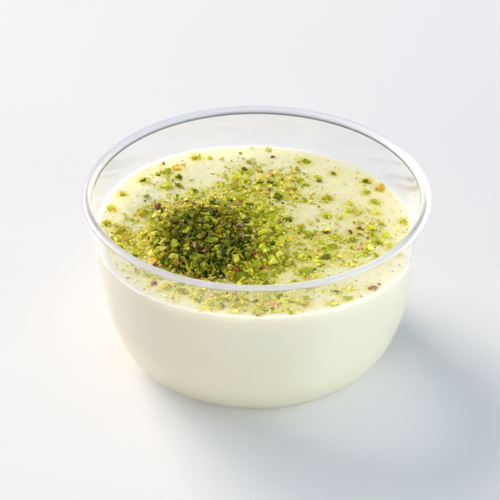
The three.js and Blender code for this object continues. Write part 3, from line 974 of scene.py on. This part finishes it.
draw_scatter = draws_from(SCATTER_SEED)
lying = with_tilts(scattered_pieces(draw_scatter), draw_scatter)
draw_heap = draws_from(HEAP_SEED)
heaped = with_tilts(heaped_pieces(draw_heap), draw_heap)
for pieces, shares in ((lying, ON_PUDDING), (heaped, ON_HEAP_EDGE)):
    for x, y, length, width, turn, tilt_x, tilt_y, kind in pieces:
        thickness = CHIP_THICKNESS * width
        z = float(bed_height(x, y)) + CHIP_PROUD * thickness
        if not kind:
            kind = rng.choice(KINDS, p=ON_HEAP if rng.uniform() < heap_core(x, y) else shares)
        shown = SHOWN_THICKNESS * thickness
        rows[kind].append((x, y, z, length, width, shown, tilt_x, tilt_y, turn))

# Bits broken off the larger pieces cling round them.
for x, y, length, width, turn, kind in LARGE_CHUNKS:
    for _ in range(BITS_ROUND_CHUNK):
        size = length * rng.uniform(*BIT_SHARE)
        way = rng.uniform(0, 2 * math.pi)
        bit_x = x + BIT_REACH * length * math.cos(way)
        bit_y = y + BIT_REACH * length * math.sin(way)
        if math.hypot(bit_x, bit_y) + size / 2 > CONTACT_RADIUS - CLEARANCE:
            continue
        bit_z = float(bed_height(bit_x, bit_y)) + BIT_PROUD * size
        bit_kind = rng.choice([kind, BIT_KINDS.get(kind, kind)])
        sizes = (size, BIT_WIDTH * size, BIT_THICKNESS * size)
        tilts = rng.uniform(-BIT_TILT, BIT_TILT, 2)
        rows[bit_kind].append((bit_x, bit_y, bit_z, *sizes, *tilts, math.degrees(way)))

# Dust of the nuts clings to the moist pudding round each piece and wherever crumbs lie thick.
dust = litter_density(corner[:, 0], corner[:, 1])
for x, y, length, *_ in lying:
    away = np.hypot(corner[:, 0] - x, corner[:, 1] - y) / (DUST_REACH * length + DUST_PAST_PIECE)
    dust = np.maximum(dust, DUST_ROUND_PIECE * np.exp(-away * away))
dust *= on_top * np.clip(inside_wall * (STAIN_FADE / DUST_FADE), 0, 1)
pudding.data.attributes.new("dust", "FLOAT", "POINT").data.foreach_set("value", dust.astype(np.float32))


LOOSE_WIDTH = (0.6, 0.95)
OUTLINE_BLEND = 4  # the heap's loose bits thin out over this distance across its outline
CROWDED_AT_EDGE = 0.3  # how thick they lie outside the heap's core, of how thick in it


def heap_density(x, y):
    inside = np.clip(0.5 - outside_heap(x, y) / OUTLINE_BLEND, 0, 1)
    return inside * (CROWDED_AT_EDGE + (1 - CROWDED_AT_EDGE) * heap_core(x, y))


def open_density(x, y):
    return litter_density(x, y) * np.clip(1 + outside_heap(x, y) / OUTLINE_BLEND, 0, 1)


def strewn(count, density, span, finer, deep_shares, pale_shares, tilt, flatness, lift):
    """Random loose bits by density. Lengths lean to the short end of the span by the power finer. Deep shares
    of the kinds hold in the heap's core and pale ones elsewhere."""
    x, y = spots(count, density, rng)
    length = span[0] + (span[1] - span[0]) * rng.uniform(size=count) ** finer
    width = length * rng.uniform(*LOOSE_WIDTH, count)
    thickness = width * rng.uniform(*flatness, count)
    z = bed_height(x, y) + thickness * rng.uniform(*lift, count)
    tilts = rng.uniform(-tilt, tilt, (2, count))
    made = np.column_stack([x, y, z, length, width, thickness, *tilts, rng.uniform(0, 360, count)])
    deep = rng.choice(KINDS, count, p=deep_shares)
    pale = rng.choice(KINDS, count, p=pale_shares)
    kinds = np.where(rng.uniform(size=count) < heap_core(x, y), deep, pale)
    for kind in KINDS:
        rows[kind] += made[kinds == kind].tolist()


# Smaller chips between them, too many for the solids, thrown at all angles.
strewn(
    count=480,
    density=heap_density,
    span=(1.5, 3.3),
    finer=0.9,
    deep_shares=ON_HEAP,
    pale_shares=ON_HEAP_EDGE,
    tilt=50,
    flatness=(0.55, 0.9),
    lift=(0.1, 0.6),
)
strewn(
    count=430,
    density=open_density,
    span=(1.1, 2.9),
    finer=1.6,
    deep_shares=ON_HEAP,
    pale_shares=ON_PUDDING,
    tilt=30,
    flatness=(0.45, 0.8),
    lift=(0.05, 0.35),
)
for kind in KINDS:
    strew("chips_" + kind, kind, rows[kind], rng, subdivisions=3, cuts=9, brightness=0.95)

# Crumbs.
rows = {kind: [] for kind in KINDS}
strewn(
    count=1700,
    density=heap_density,
    span=(0.5, 1.4),
    finer=1.3,
    deep_shares=IN_HEAP,
    pale_shares=IN_LITTER,
    tilt=90,
    flatness=(0.5, 0.9),
    lift=(0.1, 0.9),
)
strewn(
    count=2500,
    density=open_density,
    span=(0.5, 1.6),
    finer=1.3,
    deep_shares=IN_HEAP,
    pale_shares=IN_LITTER,
    tilt=60,
    flatness=(0.4, 0.7),
    lift=(0.0, 0.3),
)
for kind in KINDS:
    strew("crumbs_" + kind, kind, rows[kind], rng, subdivisions=1, cuts=4, brightness=1.05)

# The heap's inside, of the same crumbs packed together.
BED_SIDES = 200
BED_UNDER_RINGS = 8
BED_RINGS = 60
BED_DROP = 0.25  # how far its underside reaches below the pudding's top
BED_CRUMBS = 1500
BED_CRUMB_SIZE = (0.3, 0.8)
BED_CRUMB_RISE = 0.9  # of a crumb's size
BED_SEED = 3


def heap_bed_rings():
    turn = np.arange(BED_SIDES) * 2 * math.pi / BED_SIDES
    rings = []
    for share in np.concatenate([np.linspace(0, 1, BED_UNDER_RINGS), np.linspace(1, 0, BED_RINGS)]):
        x = HEAP_X + share * heap_reach(turn) * np.cos(turn)
        y = HEAP_Y + share * heap_reach(turn) * np.sin(turn)
        rings.append([x, y, surface_height(x, y) - BED_DROP])
    rings = np.moveaxis(np.array(rings), 1, 2)
    top = rings[BED_UNDER_RINGS:]
    rough = np.random.default_rng(BED_SEED)
    relief = np.zeros(top.shape[:2])
    for _ in range(BED_CRUMBS):
        x = HEAP_X + rough.uniform(-1, 1) * HEAP_REACH_X
        y = HEAP_Y + rough.uniform(-1, 1) * HEAP_REACH_Y
        size = rough.uniform(*BED_CRUMB_SIZE)
        away = ((top[..., 0] - x) ** 2 + (top[..., 1] - y) ** 2) / size**2
        relief = np.maximum(relief, BED_CRUMB_RISE * size * np.sqrt(np.clip(1 - away, 0, 1)))
    inside = np.clip(1 - np.linspace(1, 0, BED_RINGS) ** 4, 0, 1)[:, None]
    top[..., 2] += (heap_thickness(top[..., 0], top[..., 1]) + relief) * inside
    return rings


def packed_pistachio():
    """Pistachio crumbs packed close: dark green in the middle, partly their own colour and partly painted
    shade of the gaps between the piled chips; mealy yellow towards the heap's edge.
    """
    material, tree = new_material("packed_pistachio")
    place = add_node(tree, "ShaderNodeTexCoord")
    core = add_node(tree, "ShaderNodeAttribute", {"attribute_name": "core"})
    mealy = add_node(
        tree,
        "ShaderNodeTexNoise",
        inputs={"Vector": place.outputs["Object"], "Scale": 1 / (1.3 * MM), "Detail": 4.0, "Roughness": 0.6},
    )
    mixed = add_node(
        tree, "ShaderNodeMath", {"operation": "ADD"}, {0: core.outputs["Fac"], 1: mealy.outputs["Fac"]}
    )
    dark = add_node(
        tree,
        "ShaderNodeMapRange",
        {"interpolation_type": "SMOOTHSTEP"},
        {"Value": mixed.outputs["Value"], "From Min": 0.6, "From Max": 1.3},
    )
    # Partly painted shade: the dark green of the middle also stands for the shadowed gaps between piled
    # chips.
    tint = add_node(
        tree,
        "ShaderNodeMix",
        {"data_type": "RGBA"},
        {0: dark.outputs["Result"], 6: linear("#cfc23a"), 7: linear("#2c3604")},
    )
    bump = add_node(
        tree, "ShaderNodeBump", inputs={"Height": mealy.outputs["Fac"], "Strength": 0.6, "Distance": 0.2 * MM}
    )
    crumbs = add_node(
        tree,
        "ShaderNodeBsdfPrincipled",
        inputs={
            "Base Color": tint.outputs[2],
            "Roughness": 0.7,
            "Specular IOR Level": 0.2,
            "Normal": bump.outputs["Normal"],
        },
    )
    add_node(tree, "ShaderNodeOutputMaterial", inputs={"Surface": crumbs.outputs["BSDF"]})
    return material


heap_bed = new_piece("heap_bed", *revolve(heap_bed_rings()), packed_pistachio())
corner = np.array([v.co for v in heap_bed.data.vertices]) / MM
core = heap_core(corner[:, 0], corner[:, 1])
heap_bed.data.attributes.new("core", "FLOAT", "POINT").data.foreach_set("value", core.astype(np.float32))
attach(heap_bed, "root")
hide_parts("pistachio_heap")

# --- Floor, lights and camera ---
# A pale matt table top under a large window at the back left, with soft light from all round.
FLOOR_REACH = 3000
FLOOR_GAP = 0.02
FLOOR_SIDES = 64


def pale_board():
    material, tree = new_material("pale_board")
    place = add_node(tree, "ShaderNodeTexCoord")
    cloud = add_node(
        tree,
        "ShaderNodeTexNoise",
        inputs={"Vector": place.outputs["Object"], "Scale": 1 / (165 * MM), "Detail": 2.0},
    )
    tint = add_node(
        tree,
        "ShaderNodeMix",
        {"data_type": "RGBA"},
        {0: cloud.outputs["Fac"], 6: linear("#f1f1f2"), 7: linear("#f4f4f5")},
    )
    board = add_node(
        tree, "ShaderNodeBsdfPrincipled", inputs={"Base Color": tint.outputs[2], "Roughness": 0.6}
    )
    add_node(tree, "ShaderNodeOutputMaterial", inputs={"Surface": board.outputs["BSDF"]})
    return material


floor_rim = around(np.array([[FLOOR_REACH, -FLOOR_GAP]]), FLOOR_SIDES)[0]
floor = new_piece("floor", floor_rim, [list(range(FLOOR_SIDES))], pale_board())


def area_light(name, azimuth, elevation, distance, size, power, colour):
    """A square soft light aimed at the bowl, placed by its direction in degrees and distance in metres."""
    data = bpy.data.lights.new(name, "AREA")
    data.shape = "SQUARE"
    data.size = size
    data.energy = power
    data.color = linear(colour)[:3]
    light = bpy.data.objects.new(name, data)
    a, e = math.radians(azimuth), math.radians(elevation)
    light.location = distance * Vector((math.cos(e) * math.cos(a), math.cos(e) * math.sin(a), math.sin(e)))
    light.rotation_euler = (-light.location).to_track_quat("-Z", "Y").to_euler()
    bpy.context.scene.collection.objects.link(light)


area_light("window", azimuth=125, elevation=33, distance=3.5, size=1.3, power=83, colour="#fff0de")
area_light("side_window", azimuth=147, elevation=33, distance=3.5, size=1.3, power=39, colour="#fff6ee")
area_light("front_bounce", azimuth=-38, elevation=9, distance=1.8, size=0.6, power=9.4, colour="#f2fff0")
area_light("right_bounce", azimuth=0, elevation=9, distance=1.8, size=0.6, power=7.5, colour="#fff2f8")
area_light("left_bounce", azimuth=-130, elevation=9, distance=1.8, size=0.6, power=9, colour="#ffebdc")

# A small mirror at the front right throws a soft patch of light back into the shadow by the foot.
MIRROR_AT = (0.4, -0.36, 0.95)
MIRROR_AIM = (0.029, -0.033, 0)
mirror = bpy.data.lights.new("mirror", "SPOT")
mirror.energy = 8
mirror.spot_size = math.radians(3.5)
mirror.spot_blend = 1.0
mirror.shadow_soft_size = 0.008
mirror_stand = bpy.data.objects.new("mirror", mirror)
mirror_stand.location = MIRROR_AT
mirror_stand.rotation_euler = (Vector(MIRROR_AIM) - Vector(MIRROR_AT)).to_track_quat("-Z", "Y").to_euler()
bpy.context.scene.collection.objects.link(mirror_stand)

world = bpy.data.worlds.new("studio")
bpy.context.scene.world = world
world.use_nodes = True
world.node_tree.nodes.clear()
sky = add_node(
    world.node_tree, "ShaderNodeBackground", inputs={"Color": linear("#d1e8ff"), "Strength": 0.455}
)
add_node(world.node_tree, "ShaderNodeOutputWorld", inputs={"Surface": sky.outputs["Background"]})
bpy.context.scene.view_settings.view_transform = "Standard"

# Light runs far along inside the clear wall and bead, so paths are followed for many turns.
bpy.context.scene.cycles.max_bounces = 32
bpy.context.scene.cycles.diffuse_bounces = 10
bpy.context.scene.cycles.glossy_bounces = 16
bpy.context.scene.cycles.transmission_bounces = 24

CAMERA_DISTANCE = 600  # from the middle of the rim
CAMERA_ELEVATION = 31.86
CAMERA_AIM = (-1.86, 0, 30.6)
CAMERA_LENS = 150.5
camera_data = bpy.data.cameras.new("camera")
camera_data.lens = CAMERA_LENS
camera_data.clip_start = 0.01
camera = bpy.data.objects.new("camera", camera_data)
raised = math.radians(CAMERA_ELEVATION)
camera.location = MM * Vector(
    (0, -CAMERA_DISTANCE * math.cos(raised), BOWL_HEIGHT + CAMERA_DISTANCE * math.sin(raised))
)
camera.rotation_euler = (MM * Vector(CAMERA_AIM) - camera.location).to_track_quat("-Z", "Y").to_euler()
bpy.context.scene.collection.objects.link(camera)
bpy.context.scene.camera = camera
